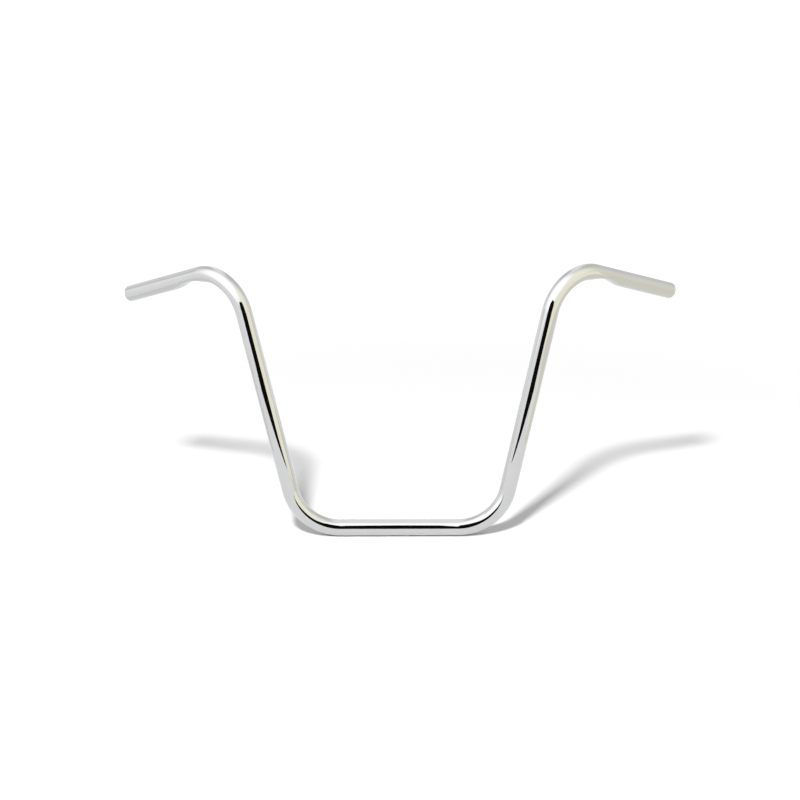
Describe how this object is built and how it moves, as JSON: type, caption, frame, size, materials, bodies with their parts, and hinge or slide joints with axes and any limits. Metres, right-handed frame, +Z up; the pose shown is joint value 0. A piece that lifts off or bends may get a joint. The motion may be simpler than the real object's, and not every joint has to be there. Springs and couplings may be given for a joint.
{
  "type": "motorcycle handlebar",
  "caption": "Tall chrome motorcycle handlebar of one-inch tube, with leaning risers, swept and drooped grips, and an underside press for the control wires by each grip.",
  "frame": {"origin": "middle of the straight low section that the clamps hold, on the tube's centreline", "axes": "+X along the clamped straight towards the rider's left hand, +Y back towards the rider, +Z up along the bar's rise"},
  "size_m": [0.8684, 0.1686, 0.4194],
  "materials": {
    "bar_chrome": "bright decorative chrome plating on polished steel tube",
    "plug_chrome": "bright chrome plating on a small turned part"
  },
  "bodies": {
    "root": {"bar_tube": "bar_chrome", "left_end_plug": "plug_chrome", "right_end_plug": "plug_chrome"}
  },
  "joints": []
}
